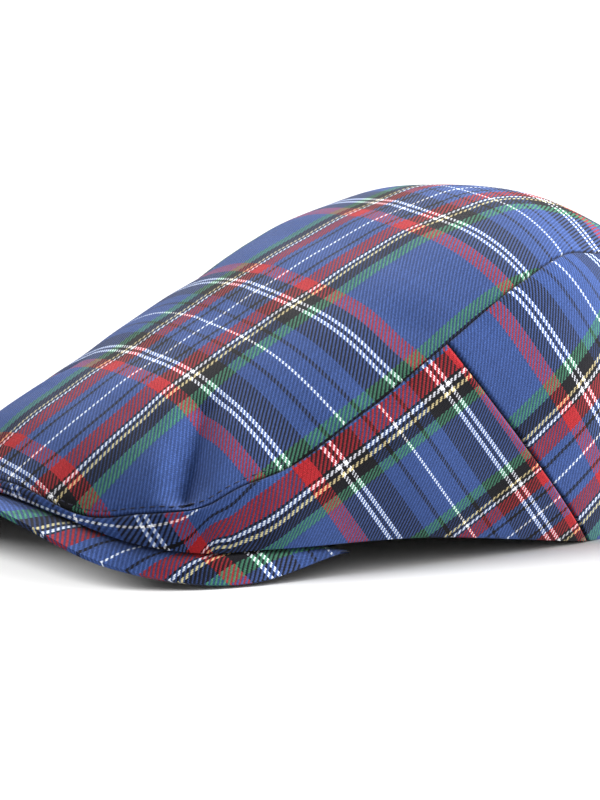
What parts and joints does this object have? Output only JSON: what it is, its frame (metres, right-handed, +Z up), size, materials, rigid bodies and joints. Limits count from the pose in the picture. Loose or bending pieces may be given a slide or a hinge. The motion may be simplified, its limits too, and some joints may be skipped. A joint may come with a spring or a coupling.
{
  "type": "flat cap",
  "caption": "Soft flat cap of tartan twill with a long sloping top panel, side panels, a wrap-round back and a short arched peak, worn on the head",
  "frame": {"origin": "on the resting plane, under the middle of the cap's length and width", "axes": "+Z up, the peak towards -Y, the wearer's left towards +X"},
  "size_m": [0.1528, 0.2498, 0.1029],
  "materials": {
    "tartan_cloth": "blue tartan twill, matt with a soft nap",
    "peak_cloth": "blue tartan twill drawn over a stiff board, matt"
  },
  "bodies": {
    "root": {"crown_top": "tartan_cloth", "side_left": "tartan_cloth", "side_right": "tartan_cloth", "back_panel": "tartan_cloth", "peak": "peak_cloth"}
  },
  "joints": []
}
